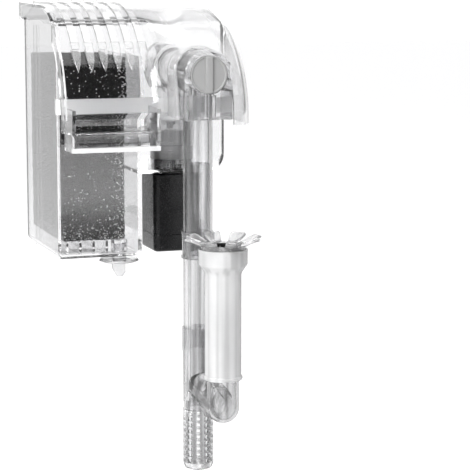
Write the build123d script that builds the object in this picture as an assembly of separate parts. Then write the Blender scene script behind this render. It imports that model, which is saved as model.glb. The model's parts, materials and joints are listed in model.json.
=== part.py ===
"""Hang-on-back aquarium power filter with a surface skimmer.

Millimetres. X runs along the tank's glass, -Y looks into the tank, +Y away from it, +Z is up.
The origin is under the spout floor, in the middle of the slot that the glass stands in.
"""

import math
import os

from build123d import *

# ---- driving dimensions ------------------------------------------------------------------
wall = 2.4                  # moulded wall of the case and the lid
gap = 0.4                   # clearance between parts that lift or slide off each other

case_width = 118.5
case_front = 5.0            # outer face of the wall that hangs behind the glass
case_back = 100.0
case_bottom = -87.0
pump_floor = -30.0          # underside of the shallow half, over the motor
chamber_width = 59.0        # outer width of the deep half that holds the foam
weir_top = 22.3             # the water leaves the foam chamber over this edge
partition_top = 50.0
pump_corner_radius = 12.0
chamber_corner_radius = 5.0

weir_edge_depth = 4.4       # thick edge along the weir
weir_edge_height = 3.0
front_step = 1.0            # the side walls' front edges stand back this far, clear of the lid
front_step_z = 69.0
bottom_rib_count = 4        # ribs that hold the foam off the bottom
bottom_rib_pitch = 9.3
bottom_rib_first = 6.5
moulded_rib = 1.6
side_rib_y = (62.0, 72.0)   # stiffening ribs up the left wall
side_rib_top = 70.0
case_foot_radius = 3.0      # small feet under the back corners
case_foot_height = 2.0
foot_boss_wall = 2.2
neck_seat_wall = 4.2
neck_seat_top = -22.6

slot_front = -5.0           # tank side of the glass slot
spout_left = -56.25
spout_right = 4.45
spout_front = -26.4
spout_floor = 2.0           # the floor's thickness, its underside is Z = 0
spout_drop = -11.0          # lower edge of the curved lip
spout_side_top = 17.0
spout_bead_depth = 3.2      # rounded rim along the lip's lower edge
spout_bead_height = 3.0

arch_centre_y = 44.0        # the lid's arch is a quarter circle about this line
arch_centre_z = 11.0
arch_radius = 74.0
lid_overhang = 3.0          # lid outside the case, left, right and behind
lid_rim_depth = 10.0
lid_low_edge = 7.3          # lower edge to the right of the knuckle, elsewhere the arch's centre height
bulge_reach = 99.0          # forward half-axis of the lid's right half
bulge_start = -2.0
bulge_full = 22.0
bulge_plan_radius = 20.0
bulge_top_radius = 9.0
rib_height = 1.2
rib_width = 4.6
rib_pitch = 9.2
rib_count = 6
rib_first_x = -53.0
rib_ends = (38.0, 30.0)     # the arch angle, up from level, where long and short ribs end

pump_x = 29.3               # tube, knob, pump and motor share this X
pump_y = 35.5
barrel_z = 40.7
barrel_radius = 14.0
barrel_bore = 12.0
barrel_end_y = 24.0
knuckle_half_width = 16.5
knuckle_front = -53.0
knuckle_back = -14.0
knuckle_clearance = 1.0     # lid notch around the knuckle
bezel_radius = 14.4
bezel_bore = 13.0
bezel_depth = 1.2
barrel_seal_wall = 1.6
barrel_seal_width = 2.6
valve_fit = 0.35
valve_wall = 2.0
valve_stem_radius = 3.0
knob_radius = 12.7
knob_thick = 2.0
knob_neck_radius = 8.9
knob_bar_width = 5.2
knob_bar_length = 24.0
knob_bar_height = 1.8
knob_bar_round = 0.9

tube_y = -29.0
tube_radius = 10.0
tube_bore = 8.5
tube_top = 26.0
tube_split = -84.0          # the upper tube ends and the lower tube's shoulder starts here
spigot_radius = 8.42
spigot_bore = 6.9
spigot_top = -20.0
collar_top = -66.0
collar_radius = 10.9
collar_ring_height = 1.4
collar_ring_raise = 0.5

strainer_top = -188.6
strainer_bottom = -231.0
strainer_radius = 10.4
strainer_bore = 8.6
strainer_rows = 8
strainer_columns = 10
strainer_slot = (2.2, 2.6)
strainer_dome = 4.0
plug_fit = 0.1
plug_wall = 1.2

skimmer_x = 34.3
skimmer_y = -67.5
skimmer_axis_z = -179.2     # middle of the round knuckle under the riser
port_z = -169.5             # where the branch opens into the tube
branch_climb = 14.0         # degrees that the run into the tube rises
port_radius = 6.5
clip_top = -132.0
clip_ring = -148.0          # the clip is a full ring above this height
riser_radius = 10.8
riser_bore = 9.0
riser_top = -120.0
sleeve_radius = 13.2
sleeve_bore = 11.2
sleeve_bottom = -160.0
cup_radius = 16.5
cup_bore = 15.2
cup_bottom = -84.0
cup_top = -74.5
petal_count = 8
petal_radius = 26.6
petal_top = -64.0
petal_gap = 3.4
petal_thick = 2.0
crown_fit = 0.5             # the crown's hub inside the cup
crown_hub_wall = 2.2
float_wall = 4.95

outlet_z = -6.0             # water leaves the pump for the foam chamber at this height
outlet_radius = 6.0
outlet_wall = 1.6
head_foot_radius = 15.2
head_foot_bore = 12.6
head_foot_top = 8.0
head_rings = (-12.2, -2.0, 3.0)
head_ring_height = 1.4
head_ring_raise = 0.7
head_riser_radius = 13.7
head_riser_bore = 11.0
head_drum_radius = 18.2
head_drum_front = 8.0       # the drum reaches this far forward of the barrel's end
head_drum_back = 16.0       # and this far behind the pump's axis
head_drum_end = 3.0
eye_outer = 7.5             # ring-shaped opening over the impeller, crossed by four spokes
eye_inner = 3.2
spoke_reach = 8.0
spoke_width = 2.0

motor_width = 33.0
motor_depth = 35.0
motor_top = -33.0
motor_seam = -75.0
motor_bottom = -87.0
motor_corner = 4.0
motor_wall = 2.5
motor_base_chamfer = 1.2
neck_radius = 11.6
neck_top = -13.4
rotor_radius = 7.6
rotor_well_radius = 8.4
shaft_radius = 1.25
shaft_bush_radius = 2.4
shaft_top = 2.6
running_fit = 0.1
press_fit = 0.05
neck_collar_wall = 2.4
gasket_width = 3.0
core_half_width = 13.4
core_half_depth = 12.0
core_gap_start = 10.4       # the coil sits in the core's side from here outwards
coil_thick = 3.2
coil_half_depth = 14.8
coil_wall = 1.5
gland_z = -68.0
gland_radius = 3.6
gland_flange_radius = 5.0
gland_bore = 2.2
blade_count = 6
blade_length = 7.0
blade_thick = 1.4
blade_height = 8.5
blade_middle = 6.5
wheel_hub_radius = 4.4
wheel_disc_radius = 9.0
wheel_disc_thick = 1.6

foam_bottom = -75.5
foam_top = 50.0
foam_right = -10.5

foot_x = -13.75
foot_y = 16.0
foot_disc_radius = 13.8
foot_neck = 2.2            # the disc hangs this far under the case
foot_pin_radius = 3.5
foot_pin_fit = 0.06
foot_pin_top = -78.9
foot_fin = ((-5.2, 3), (4.4, 3), (4.4, 10), (1.8, 13), (-1.2, 13), (-4.4, 8))  # across, below the disc's top
foot_fin_thick = 2.4

half = case_width / 2
case_top_radius = arch_radius - wall - gap
chamber_right = -half + chamber_width
inner_left = -half + wall


# ---- helpers -----------------------------------------------------------------------------
def block(low, high):
    """A box from its lowest corner to its highest."""
    size = [h - l for l, h in zip(low, high)]
    return Pos(*low) * Box(*size, align=(Align.MIN, Align.MIN, Align.MIN))


def post(x, y, radius, low, high):
    """A cylinder along Z."""
    return Pos(x, y, low) * Cylinder(radius, high - low, align=(Align.CENTER, Align.CENTER, Align.MIN))


def ring(x, y, outer, inner, low, high):
    """A tube along Z."""
    return post(x, y, outer, low, high) - post(x, y, inner, low - 1, high + 1)


def log(x, z, radius, front, back):
    """A cylinder along Y."""
    return Pos(x, back, z) * Rot(90, 0, 0) * Cylinder(
        radius, back - front, align=(Align.CENTER, Align.CENTER, Align.MIN)
    )


def turned(x, y, outline):
    """A solid of revolution about the Z line through x, y, from (radius, height) points."""
    face = make_face(Plane.XZ * Polyline(*outline, close=True))
    return Pos(x, y, 0) * revolve(face, Axis.Z, 360)


def lid_reach(x, trim):
    """Forward and upward half-axes of the lid's section at x, less trim for the inner skin."""
    t = min(max((x - bulge_start) / (bulge_full - bulge_start), 0.0), 1.0)
    ease = t * t * (3 - 2 * t)
    forward = arch_radius + (bulge_reach - arch_radius) * ease - trim
    upward = arch_radius - trim
    end = half + lid_overhang
    plan_centre = end - bulge_plan_radius
    if x > plan_centre:
        r = bulge_plan_radius - trim
        forward = bulge_reach - bulge_plan_radius + math.sqrt(max(r * r - (x - plan_centre) ** 2, 0.0))
    top_centre = end - bulge_top_radius
    if x > top_centre:
        r = bulge_top_radius - trim
        upward = arch_radius - bulge_top_radius + math.sqrt(max(r * r - (x - top_centre) ** 2, 0.0))
    return forward, upward


def lid_section(x, trim, back, bottom):
    """Closed section of the lid at x: back, flat top, quarter ellipse, foot."""
    forward, upward = lid_reach(x, trim)
    plane = Plane(origin=(x, 0, 0), x_dir=(0, 1, 0), z_dir=(1, 0, 0))
    top = (arch_centre_y, arch_centre_z + upward)
    front = (arch_centre_y - forward, arch_centre_z)
    arc = EllipticalCenterArc((arch_centre_y, arch_centre_z), forward, upward, 90, arc_size=90)
    start, end = arc @ 0, arc @ 1
    edges = [
        arc,
        Line(end, (end.X, bottom)),
        Line((end.X, bottom), (back, bottom)),
        Line((back, bottom), (back, start.Y)),
        Line((back, start.Y), start),
    ]
    return plane * make_face(edges)


def lid_body(trim, left, right, back, bottom):
    """The lid's outer solid, or its inner one when trim is the wall."""
    end = half + lid_overhang
    stations = [left]
    steps = 8
    stations += [bulge_start + (bulge_full - bulge_start) * i / steps for i in range(steps + 1)]
    turn = 8
    first = end - bulge_plan_radius
    stations += [first + (right - first) * math.sin(math.pi / 2 * i / turn) for i in range(turn + 1)]
    return loft([lid_section(x, trim, back, bottom) for x in stations], ruled=True)


def arch_prism(radius, left, right, bottom, back):
    """Everything under the lid's left arch at this radius."""
    plane = Plane(origin=(left, 0, 0), x_dir=(0, 1, 0), z_dir=(1, 0, 0))
    arc = CenterArc((arch_centre_y, arch_centre_z), radius, 90, 90)
    edges = [
        arc,
        Line(arc @ 1, (arch_centre_y - radius, bottom)),
        Line((arch_centre_y - radius, bottom), (back, bottom)),
        Line((back, bottom), (back, arch_centre_z + radius)),
        Line((back, arch_centre_z + radius), arc @ 0),
    ]
    return extrude(plane * make_face(edges), right - left)


# ---- the case ----------------------------------------------------------------------------
def spout():
    """Level floor over the glass, a curved lip down into the tank, and two cheeks."""
    lip_radius = spout_floor - spout_drop
    bend_y = spout_front + lip_radius
    width = spout_right - spout_left
    floor = block((spout_left, bend_y, 0), (spout_right, case_front + wall, spout_floor))
    lip = Pos(spout_left, bend_y, spout_drop) * Rot(0, 90, 0) * Cylinder(
        lip_radius, width, align=(Align.CENTER, Align.CENTER, Align.MIN)
    )
    lip -= Pos(spout_left - 1, bend_y, spout_drop) * Rot(0, 90, 0) * Cylinder(
        lip_radius - spout_floor, width + 2, align=(Align.CENTER, Align.CENTER, Align.MIN)
    )
    quarter = block((spout_left, spout_front - 1, spout_drop), (spout_right, bend_y, spout_floor))
    body = floor + (lip & quarter)
    body += block(
        (spout_left, spout_front, spout_drop),
        (spout_right, spout_front + spout_bead_depth, spout_drop + spout_bead_height),
    )
    for x in (spout_left, spout_right - wall):
        body += block((x, spout_front, 0), (x + wall, case_front + wall, spout_side_top))
        body += block((x, spout_front, spout_drop), (x + wall, slot_front, spout_floor))
    return body


def filter_case():
    """Clear moulding: deep foam chamber, shallow pump half, weir, spout, ribs and bosses."""
    top = arch_centre_z + case_top_radius
    deep = block((-half, case_front, case_bottom), (chamber_right, case_back, top))
    low_edges = deep.edges().filter_by(lambda e: e.center().Z < case_bottom + 1)
    deep = fillet(low_edges, chamber_corner_radius)
    shallow = block((chamber_right - wall, case_front, pump_floor), (half, case_back, top))
    corner = shallow.edges().filter_by(Axis.Y).sort_by(Axis.Z)[:2].sort_by(Axis.X)[-1]
    shallow = fillet(corner, pump_corner_radius)
    body = (deep + shallow) & lid_body(wall + gap, -half, half, case_back, case_bottom - 5)

    inside = block(
        (inner_left, case_front + wall, case_bottom + wall),
        (chamber_right - wall, case_back - wall, top + 5),
    )
    low_edges = inside.edges().filter_by(lambda e: e.center().Z < case_bottom + wall + 1)
    body -= fillet(low_edges, chamber_corner_radius - wall)
    inside = block(
        (chamber_right, case_front + wall, pump_floor + wall),
        (half - wall, case_back - wall, top + 5),
    )
    corner = inside.edges().filter_by(Axis.Y).sort_by(Axis.Z)[:2].sort_by(Axis.X)[-1]
    body -= fillet(corner, pump_corner_radius - wall)
    body -= block((inner_left, case_front - 60, weir_top), (half - wall, case_front + wall + 0.01, top + 5))
    body -= block((inner_left, case_front, partition_top), (half - wall, case_back - wall, top + 5))
    body &= block((-half, case_front, case_bottom - 1), (half, case_back, top + 1))

    # thick edge along the weir
    body += block(
        (inner_left - 1, case_front, weir_top - weir_edge_height),
        (half - wall + 1, case_front + weir_edge_depth, weir_top),
    )
    body -= block((-half - 1, case_front - 1, front_step_z), (half + 1, case_front + front_step, top + 1))
    # ribs that hold the foam off the bottom
    rib_y = (case_front + wall + 3, case_back - wall - 3)
    rib_z = (case_bottom + wall - 0.5, foam_bottom - 0.3)
    for i in range(bottom_rib_count):
        x = -half + bottom_rib_first + bottom_rib_pitch * i
        body += block((x, rib_y[0], rib_z[0]), (x + moulded_rib, rib_y[1], rib_z[1]))
    # stiffening ribs up the left wall, clear of the foam
    for y in side_rib_y:
        low = (inner_left - 0.2, y, case_bottom + 8)
        body += block(low, (inner_left + moulded_rib, y + moulded_rib, side_rib_top))
    # boss for the levelling foot's pin
    boss_radius = foot_pin_radius + foot_boss_wall
    body += post(foot_x, foot_y, boss_radius, case_bottom + wall - 0.5, foam_bottom - 0.5)
    body -= post(foot_x, foot_y, foot_pin_radius + foot_pin_fit, case_bottom - 1, foot_pin_top + 0.4)
    # small feet under the back corners
    for x in (-half + 7, chamber_right - 7):
        body += post(x, case_back - 8, case_foot_radius, case_bottom - case_foot_height, case_bottom + 1)
    # seat around the motor's neck
    body += post(pump_x, pump_y, neck_radius + neck_seat_wall, pump_floor + wall - 0.5, neck_seat_top)
    body -= post(pump_x, pump_y, neck_radius + 0.3, pump_floor - 1, neck_seat_top + 1)
    # water passes from the pump to the foam chamber here
    body -= outlet(outlet_radius + 0.3, chamber_right - wall - 1, wall + 2)
    return body + spout()


# ---- media -------------------------------------------------------------------------------
def foam_block():
    """Coarse foam that fills the deep half, clear of the walls and of the left ribs."""
    return block(
        (inner_left + 2.2, case_front + wall + 2.6, foam_bottom),
        (foam_right, case_back - wall - 1.5, foam_top),
    )


# ---- lid ---------------------------------------------------------------------------------
def lid():
    """Arched hood with raised ribs on its left half and a notch over the intake knuckle."""
    end = half + lid_overhang
    outer = lid_body(0.0, -end, end, case_back + lid_overhang, lid_low_edge)
    notch = knuckle_half_width + knuckle_clearance
    outer -= block((-end - 1, -90, 0), (pump_x + notch, case_back + 10, arch_centre_z))
    rib_back = case_back + lid_overhang - 4
    for i in range(rib_count):
        x = rib_first_x + rib_pitch * i
        angle = rib_ends[i % 2]
        band = arch_prism(arch_radius + rib_height, x, x + rib_width, arch_centre_z, rib_back)
        low = arch_centre_z + arch_radius * math.sin(math.radians(angle))
        outer += band & block((x, -60, low), (x + rib_width, case_back + 10, 120))
    inner_end = end - wall
    inner = lid_body(wall, -inner_end, inner_end, case_back + gap, lid_low_edge - 2)
    body = outer - inner
    # behind the glass only a rim hangs down
    rim_z = arch_centre_z + arch_radius - wall - lid_rim_depth
    body -= block((-end - 1, case_front - 1, 0), (end + 1, case_back + 10, rim_z))
    # the left end is open below the arch's rim
    body -= arch_prism(arch_radius - lid_rim_depth, -end - 1, -inner_end + 1, 0, case_back)
    # open-bottomed notch, so that the lid lifts straight off over the knuckle
    body -= log(pump_x, barrel_z, notch, -80, -12)
    body -= block((pump_x - notch, -80, 0), (pump_x + notch, -12, barrel_z))
    return body


# ---- intake ------------------------------------------------------------------------------
def intake_knuckle():
    """Arch-fronted valve body over the tube, with the barrel that carries water over the glass."""
    front = block(
        (pump_x - knuckle_half_width, knuckle_front, arch_centre_z),
        (pump_x + knuckle_half_width, knuckle_back, barrel_z),
    )
    front += log(pump_x, barrel_z, knuckle_half_width, knuckle_front, knuckle_back)
    body = front + log(pump_x, barrel_z, barrel_radius, knuckle_back - 2, barrel_end_y)
    body -= log(pump_x, barrel_z, barrel_bore, knuckle_front - 1, barrel_end_y + 1)
    body -= post(pump_x, tube_y, tube_radius, arch_centre_z - 1, tube_top)
    body -= post(pump_x, tube_y, tube_bore, tube_top - 1, barrel_z)
    # bezel round the knob
    body += log(pump_x, barrel_z, bezel_radius, knuckle_front - bezel_depth, knuckle_front + 1)
    return body - log(pump_x, barrel_z, bezel_bore, knuckle_front - 3, knuckle_front + 1.2)


def barrel_seal():
    """Rubber ring between the barrel's end and the pump head."""
    y = barrel_end_y - 5
    outer = log(pump_x, barrel_z, barrel_radius + barrel_seal_wall, y, y + barrel_seal_width)
    return outer - log(pump_x, barrel_z, barrel_radius, y - 1, y + 4)


def valve_core():
    """Half sleeve that turns across the tube's mouth to throttle the intake."""
    outer = barrel_bore - valve_fit
    sleeve = log(pump_x, barrel_z, outer, knuckle_front + 7, knuckle_back - 1)
    sleeve -= log(pump_x, barrel_z, outer - valve_wall, knuckle_front + 6, knuckle_back)
    sleeve &= block((0, -80, barrel_z + 1.5), (80, 0, 80))
    disc = log(pump_x, barrel_z, outer, knuckle_front + 5, knuckle_front + 7.2)
    return sleeve + disc - log(pump_x, barrel_z, valve_stem_radius, knuckle_front, knuckle_front + 9)


def valve_seal():
    """Rubber ring behind the knob, sealing the valve body's front."""
    y = knuckle_front + 2.5
    outer = log(pump_x, barrel_z, barrel_bore - 0.2, y, y + 2)
    return outer - log(pump_x, barrel_z, knob_neck_radius + running_fit, y - 1, y + 3)


def flow_knob():
    """Round knob with a full-width grip bar and a stem into the valve core."""
    front = knuckle_front - 1.0
    body = log(pump_x, barrel_z, knob_radius, front, front + knob_thick)
    body += log(pump_x, barrel_z, knob_neck_radius, front + 1.8, knuckle_front + 5)
    body += log(pump_x, barrel_z, valve_stem_radius, front + 1.8, knuckle_front + 8)
    across, up = knob_bar_width / 2, knob_bar_length / 2
    bar = block(
        (pump_x - across, front - knob_bar_height, barrel_z - up),
        (pump_x + across, front + 0.5, barrel_z + up),
    )
    upright = bar.edges().filter_by(Axis.Z).sort_by(Axis.Y)[:2]
    return body + fillet(upright, knob_bar_round)


def upper_tube():
    """Intake tube from the knuckle down to the telescopic joint."""
    return ring(pump_x, tube_y, tube_radius, tube_bore, tube_split, tube_top)


def tube_collar():
    """Clear joining collar shrunk on the upper tube's end, with two raised rings."""
    body = ring(pump_x, tube_y, collar_radius, tube_radius, tube_split, collar_top)
    raised = collar_radius + collar_ring_raise
    for z in (tube_split, collar_top - collar_ring_height):
        body += ring(pump_x, tube_y, raised, collar_radius - 0.3, z, z + collar_ring_height)
    return body


def lower_tube():
    """Telescopic lower tube with its spigot inside the upper one and a port for the skimmer."""
    shoulder = tube_split - 0.3
    top_of_strainer = strainer_top + 6
    body = ring(pump_x, tube_y, tube_radius, spigot_bore, strainer_top, shoulder)
    body += ring(pump_x, tube_y, spigot_radius, spigot_bore, shoulder - 2, spigot_top)
    body -= post(pump_x, tube_y, tube_bore, strainer_top - 1, top_of_strainer)
    toward, _ = branch_frame()
    port = Plane(origin=(pump_x, tube_y, port_z), z_dir=-toward)
    return body - port * Cylinder(port_radius, tube_radius + 2, align=(Align.CENTER, Align.CENTER, Align.MIN))


def strainer():
    """Slotted cage with a domed end that plugs into the tube's foot."""
    depth = strainer_bottom
    dome = strainer_dome
    outline = [
        (strainer_bore, strainer_top - 0.1),
        (strainer_radius, strainer_top - 0.1),
        (strainer_radius, depth + dome),
        (strainer_radius - 1.2, depth + 1.2),
        (strainer_radius - 4, depth),
        (0, depth),
        (0, depth + wall),
        (strainer_bore - 2.5, depth + wall),
        (strainer_bore, depth + dome + 1),
    ]
    body = turned(pump_x, tube_y, outline)
    plug = tube_bore - plug_fit
    body += ring(pump_x, tube_y, plug, plug - plug_wall, strainer_top - 2, strainer_top + 5.5)
    body += ring(pump_x, tube_y, strainer_bore + 0.5, plug - plug_wall, strainer_top - 2, strainer_top - 0.5)
    wide, tall = strainer_slot
    pitch = (strainer_top - depth - 13) / (strainer_rows - 1)
    cuts = []
    for row in range(strainer_rows):
        z = depth + 7 + pitch * row
        for column in range(strainer_columns // 2):
            turn = 360 / strainer_columns * column
            slot = Box(strainer_radius * 3, wide, tall)
            cuts.append(Pos(pump_x, tube_y, z) * Rot(0, 0, turn) * slot)
    return body - cuts


# ---- skimmer -----------------------------------------------------------------------------
def branch_frame():
    """Unit vector from the skimmer's axis to the tube's, and their distance."""
    dx, dy = pump_x - skimmer_x, tube_y - skimmer_y
    reach = math.hypot(dx, dy)
    return Vector(dx / reach, dy / reach, 0), reach


def branch_pipe(radius, top):
    """Riser, round knuckle and the run that climbs into the tube, all of one radius."""
    toward, reach = branch_frame()
    corner = Vector(skimmer_x, skimmer_y, skimmer_axis_z)
    riser = post(skimmer_x, skimmer_y, radius, skimmer_axis_z, top)
    climb = Vector(toward.X * reach, toward.Y * reach, reach * math.tan(math.radians(branch_climb)))
    run = Plane(origin=corner, z_dir=climb.normalized()) * Cylinder(
        radius, climb.length, align=(Align.CENTER, Align.CENTER, Align.MIN)
    )
    return riser + Pos(corner) * Sphere(radius) + run


def skimmer_branch():
    """Clear elbow and riser with the clip that wraps the lower tube over its port."""
    toward, _ = branch_frame()
    clip_bottom = port_z - 13
    clip = post(pump_x, tube_y, tube_radius + 1.2, clip_bottom, clip_top)
    # below its full ring the clip keeps only the half towards the skimmer
    beyond = Plane(origin=(pump_x, tube_y, clip_bottom - 1), x_dir=toward, z_dir=(0, 0, 1)) * Box(
        30, 60, clip_ring - clip_bottom + 1, align=(Align.MIN, Align.CENTER, Align.MIN)
    )
    clip -= beyond
    body = branch_pipe(riser_radius, riser_top) + clip
    beyond_tube = Plane(origin=(pump_x, tube_y, clip_bottom - 4), x_dir=toward, z_dir=(0, 0, 1)) * Box(
        30, 60, clip_ring - clip_bottom + 4, align=(Align.MIN, Align.CENTER, Align.MIN)
    )
    body -= beyond_tube
    body -= post(pump_x, tube_y, tube_radius + 0.12, clip_bottom - 14, clip_top + 1)
    return body - branch_pipe(riser_bore, riser_top + 1)


def skimmer_sleeve():
    """Frosted tube with a flared cup that slides up and down the riser."""
    outline = [
        (sleeve_bore, sleeve_bottom),
        (sleeve_radius, sleeve_bottom),
        (sleeve_radius, cup_bottom - 6),
        (cup_radius, cup_bottom + 1.5),
        (cup_radius, cup_top),
        (cup_bore, cup_top),
        (cup_bore, cup_bottom + 2),
        (sleeve_bore, cup_bottom - 5),
    ]
    return turned(skimmer_x, skimmer_y, outline)


def skimmer_crown():
    """Floating weir ring with eight flared petals that the surface film runs between."""
    hub = cup_bore - crown_fit
    outline = [
        (hub - crown_hub_wall, cup_top - 6),
        (hub, cup_top - 6),
        (hub, cup_top + 1.5),
        (hub + 4, cup_top + 4.5),
        (petal_radius, petal_top - petal_thick),
        (petal_radius, petal_top),
        (hub + 3, cup_top + 7),
        (hub - crown_hub_wall, cup_top + 3.5),
    ]
    body = turned(skimmer_x, skimmer_y, outline)
    cuts = []
    for i in range(petal_count // 2):
        turn = 360 / petal_count * (i + 0.5)
        cut = Box(petal_radius * 3, petal_gap, 20, align=(Align.CENTER, Align.CENTER, Align.MIN))
        cuts.append(Pos(skimmer_x, skimmer_y, cup_top + 2.2) * Rot(0, 0, turn) * cut)
    return body - cuts


def crown_float():
    """Black foam ring that carries the crown at the water line."""
    outer = cup_bore - crown_fit - crown_hub_wall - press_fit
    return ring(skimmer_x, skimmer_y, outer, outer - float_wall, cup_top - 5, cup_top + 4)


# ---- pump --------------------------------------------------------------------------------
def outlet(radius, left, length):
    """A cylinder along X from the pump towards the foam chamber."""
    return Pos(left, pump_y, outlet_z) * Rot(0, 90, 0) * Cylinder(
        radius, length, align=(Align.CENTER, Align.CENTER, Align.MIN)
    )


def pump_head():
    """Clear pump chamber: ringed foot over the impeller, riser, and socket for the barrel."""
    body = post(pump_x, pump_y, head_foot_radius, neck_top + 0.1, head_foot_top)
    for z in head_rings:
        body += post(pump_x, pump_y, head_foot_radius + head_ring_raise, z, z + head_ring_height)
    body += post(pump_x, pump_y, head_riser_radius, head_foot_top - 1, barrel_z)
    drum_front = barrel_end_y - head_drum_front
    drum_back = pump_y + head_drum_back
    body += log(pump_x, barrel_z, head_drum_radius, drum_front, drum_back)
    body += outlet(outlet_radius, chamber_right - wall - 4, pump_x - chamber_right)
    # socket for the barrel, then the water's way down to the impeller
    socket_radius = barrel_radius + barrel_seal_wall + press_fit
    body -= log(pump_x, barrel_z, socket_radius, drum_front - 1, barrel_end_y + gap)
    body -= log(pump_x, barrel_z, barrel_bore, barrel_end_y - 1, drum_back - head_drum_end)
    body -= post(pump_x, pump_y, head_riser_bore, head_foot_top - 4, barrel_z)
    body -= post(pump_x, pump_y, head_foot_bore, neck_top - 1, head_foot_top - 6)
    body -= ring(pump_x, pump_y, eye_outer, eye_inner, head_foot_top - 7, head_foot_top - 3)
    across = spoke_width / 2
    for reach_x, reach_y in ((spoke_reach, across), (across, spoke_reach)):
        body += block(
            (pump_x - reach_x, pump_y - reach_y, head_foot_top - 6),
            (pump_x + reach_x, pump_y + reach_y, head_foot_top - 4),
        )
    body -= post(pump_x, pump_y, shaft_bush_radius, head_foot_top - 8, head_foot_top - 4.6)
    bore_length = pump_x - chamber_right - 2
    return body - outlet(outlet_radius - outlet_wall, chamber_right - wall - 6, bore_length)


def motor_housing():
    """Black motor shell with the neck that stands up through the case's floor."""
    body = motor_block(motor_seam + 0.1, motor_top)
    body += post(pump_x, pump_y, neck_radius, motor_top - 1, neck_top)
    body -= post(pump_x, pump_y, rotor_well_radius, motor_seam + 6, neck_top + 1)
    across, along = motor_width / 2 - motor_wall, motor_depth / 2 - motor_wall
    pocket = block(
        (pump_x - across, pump_y - along, motor_seam - 1),
        (pump_x + across, pump_y + along, motor_top - motor_wall),
    )
    sleeve = post(pump_x, pump_y, rotor_well_radius + 1.2, motor_seam + 4.5, motor_top)
    return body - (pocket - sleeve)


def motor_block(low, high):
    """Rounded-corner block of the motor's outline."""
    body = block(
        (pump_x - motor_width / 2, pump_y - motor_depth / 2, low),
        (pump_x + motor_width / 2, pump_y + motor_depth / 2, high),
    )
    return fillet(body.edges().filter_by(Axis.Z), motor_corner)


def motor_base():
    """Potted base that closes the motor shell."""
    body = motor_block(motor_bottom, motor_seam)
    low = body.edges().filter_by(lambda e: e.center().Z < motor_bottom + 0.1)
    return chamfer(low, motor_base_chamfer)


def stator_core():
    """Laminated U of steel round the rotor well."""
    low, high = motor_seam + 2, motor_top - 8
    body = block(
        (pump_x - core_half_width, pump_y - core_half_depth, low),
        (pump_x + core_half_width, pump_y + core_half_depth, high),
    )
    body -= post(pump_x, pump_y, rotor_well_radius + 1.3, low - 1, high + 1)
    return body - block(
        (pump_x + core_gap_start, pump_y - core_half_depth - 1, low + 8),
        (pump_x + core_half_width + 1, pump_y + core_half_depth + 1, high - 8),
    )


def stator_coil():
    """Copper winding on the core's outer limb."""
    low, high = motor_seam + 10.4, motor_top - 16.4
    left = pump_x + core_gap_start + 0.2
    outer = block(
        (left, pump_y - coil_half_depth, low),
        (left + coil_thick, pump_y + coil_half_depth, high),
    )
    return outer - block(
        (left - 1, pump_y - core_half_depth / 2, low + coil_wall),
        (left + coil_thick + 1, pump_y + core_half_depth / 2, high - coil_wall),
    )


def motor_collar():
    """Grey bayonet ring that locks the motor's neck over the seat."""
    outer = neck_radius + neck_collar_wall
    return ring(pump_x, pump_y, outer, neck_radius + press_fit, neck_seat_top + 0.1, neck_top)


def motor_gasket():
    """Rubber washer under the case's floor."""
    outer = neck_radius + gasket_width
    return ring(pump_x, pump_y, outer, neck_radius + press_fit, motor_top, pump_floor)


def cable_gland():
    """Moulded inlet for the motor's cord, low on the motor's back."""
    y = pump_y + motor_depth / 2
    body = log(pump_x, gland_z, gland_flange_radius, y, y + 3)
    body += log(pump_x, gland_z, gland_radius, y + 2.5, y + 9)
    return body - log(pump_x, gland_z, gland_bore, y + 1.5, y + 10)


def rotor_magnet():
    """Ferrite rotor, bored for the fixed shaft."""
    bore = shaft_radius + running_fit
    return ring(pump_x, pump_y, rotor_radius, bore, motor_seam + 9, neck_top - 0.3)


def impeller_wheel():
    """Hub and six straight blades on the rotor."""
    low = neck_top + gap
    body = post(pump_x, pump_y, wheel_hub_radius, neck_top - 0.3, -2.5)
    body += post(pump_x, pump_y, wheel_disc_radius, low, low + wheel_disc_thick)
    for i in range(blade_count):
        blade = Pos(blade_middle, 0, low + 1.0) * Box(
            blade_length, blade_thick, blade_height, align=(Align.CENTER, Align.CENTER, Align.MIN)
        )
        body += Pos(pump_x, pump_y, 0) * Rot(0, 0, 360 / blade_count * i) * blade
    return body - post(pump_x, pump_y, shaft_radius + running_fit, low - 1, 0)


def impeller_shaft():
    """Fixed ceramic shaft."""
    return post(pump_x, pump_y, shaft_radius, motor_seam + 6.6, shaft_top)


def shaft_bushes():
    """Rubber bushes that hold the shaft at both ends."""
    lower = post(pump_x, pump_y, 3.6, motor_seam + 6, motor_seam + 8.4)
    upper = post(pump_x, pump_y, shaft_bush_radius, -1.5, head_foot_top - 4.6)
    shaft = impeller_shaft()
    return [lower - shaft, upper - shaft]


# ---- levelling foot ----------------------------------------------------------------------
def level_foot():
    """Turning foot: dished disc, pin into the case and a fin that bears on the glass."""
    top = case_bottom - foot_neck
    outline = [
        (0, top + foot_neck - 0.4),
        (foot_pin_radius + 1.5, top + foot_neck - 0.4),
        (foot_pin_radius + 1.5, top),
        (foot_disc_radius - 1, top - 0.2),
        (foot_disc_radius, top - 1.4),
        (foot_disc_radius - 2, top - 2.4),
        (0, top - 4.0),
    ]
    body = turned(foot_x, foot_y, outline)
    body += post(foot_x, foot_y, foot_pin_radius, top - 2, foot_pin_top)
    corners = [(x, top - depth) for x, depth in foot_fin]
    face = make_face(Plane.XZ * Polyline(*corners, close=True))
    return body + Pos(foot_x, foot_y, 0) * extrude(face, foot_fin_thick / 2, both=True)


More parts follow.
